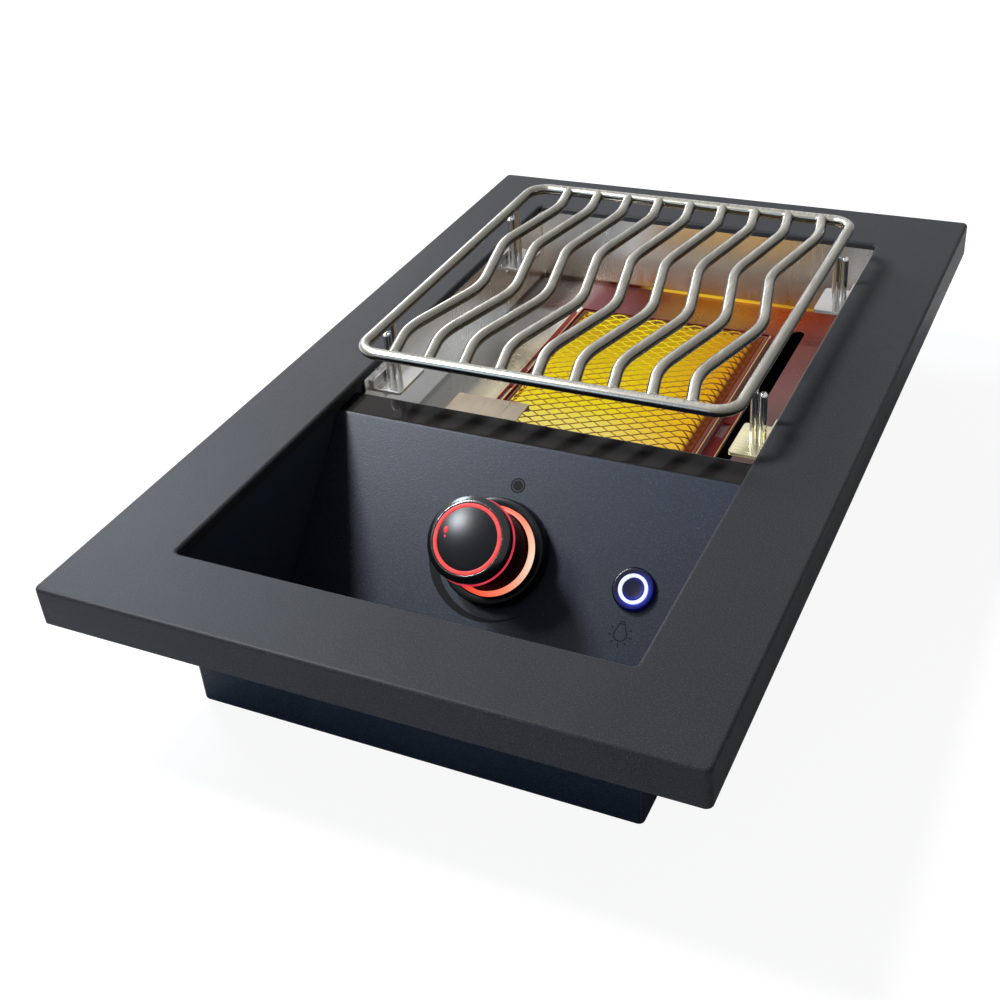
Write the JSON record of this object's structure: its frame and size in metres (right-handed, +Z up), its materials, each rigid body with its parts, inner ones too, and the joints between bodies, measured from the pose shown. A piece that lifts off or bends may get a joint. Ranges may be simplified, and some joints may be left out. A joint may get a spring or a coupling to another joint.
{
  "type": "infrared burner",
  "caption": "Drop-in gas infrared burner: black trim, sunken sloping control panel with lit knob and switch, ceramic burner under a metal screen, loose wave-bar grid.",
  "frame": {"origin": "centre of the whole outline, on the underside of the box that it stands on", "axes": "+X to the right as the cook stands at the controls, +Y to the back, away from the controls, +Z up"},
  "size_m": [0.32, 0.512, 0.1179],
  "materials": {
    "black_coat": "fine-textured matte powder coat",
    "panel_coat": "satin powder coat",
    "polished_steel": "polished stainless sheet",
    "rod_steel": "electropolished stainless rod",
    "burner_steel": "heat-tinted stainless sheet",
    "screen_steel": "heat-darkened expanded sheet",
    "tile_ceramic": "porous ceramic",
    "fibre": "ceramic fibre",
    "brass": "turned brass",
    "valve_alloy": "die-cast",
    "zinc": "bright zinc plated",
    "tube_alloy": "drawn tube",
    "gloss_black": "gloss black",
    "light_warm": "lit diffuser",
    "light_red": "lit diffuser",
    "light_blue": "lit diffuser",
    "black_chrome": "black chrome",
    "case_plastic": "moulded case",
    "lead_silicone": "silicone-sheathed lead",
    "board": "circuit board"
  },
  "bodies": {
    "base": {"top_trim": "black_coat", "outer_box": "black_coat", "control_panel": "panel_coat", "burner_liner": "polished_steel", "grid_brackets": "polished_steel", "igniter_box": "polished_steel", "liner_rivets": "polished_steel", "burner_screws": "polished_steel", "grid_pegs": "rod_steel", "burner_body": "burner_steel", "venturi_tube": "burner_steel", "electrode_wire": "burner_steel", "burner_screen": "screen_steel", "ceramic_tiles": "tile_ceramic", "tile_gasket": "fibre", "electrode_insulator": "fibre", "orifice": "brass", "inlet_fitting": "brass", "inlet_nut": "brass", "gas_valve": "valve_alloy", "valve_screws": "zinc", "panel_screws": "zinc", "switch_nut": "zinc", "gas_tube": "tube_alloy", "knob_bezel": "gloss_black", "knob_light_ring": "light_warm", "switch_ring_light": "light_blue", "switch_housing": "black_chrome", "ignition_module": "case_plastic", "light_driver": "case_plastic", "ignition_lead": "lead_silicone", "switch_lead": "lead_silicone", "lamp_board": "board"},
    "grid": {"grid_frame": "rod_steel", "grid_bars": "rod_steel", "grid_legs": "rod_steel"},
    "knob_pusher": {"stem_washer": "zinc"},
    "knob": {"valve_stem": "zinc", "knob_drum": "gloss_black", "knob_rim_light": "light_red", "knob_cap": "gloss_black", "knob_top_light": "light_red", "knob_face": "gloss_black"},
    "light_button": {"switch_button": "black_chrome"},
    "shutter": {"air_shutter": "burner_steel"}
  },
  "joints": [
    {"name": "grid_lift", "type": "slide", "parent": "base", "child": "grid", "axis": [0, 0, 1], "range_m": [0, 0.06]},
    {"name": "knob_push", "type": "slide", "parent": "base", "child": "knob_pusher", "axis": [0, 0.7071, -0.7071], "range_m": [0, 0.004], "stiffness_N_per_m": 1500, "springref_m": -0.003},
    {"name": "knob_turn", "type": "hinge", "parent": "knob_pusher", "child": "knob", "pos_m": [-0.0035, -0.10244, 0.04106], "axis": [0, -0.7071, 0.7071], "range_deg": [-80, 125]},
    {"name": "light_button_press", "type": "slide", "parent": "base", "child": "light_button", "axis": [0, 0.7071, -0.7071], "range_m": [0, 0.0025], "stiffness_N_per_m": 1200, "springref_m": -0.002},
    {"name": "air_shutter_turn", "type": "hinge", "parent": "base", "child": "shutter", "pos_m": [-0.0035, -0.05, 0.022], "axis": [0, 1, 0], "range_deg": [0, 80]}
  ]
}
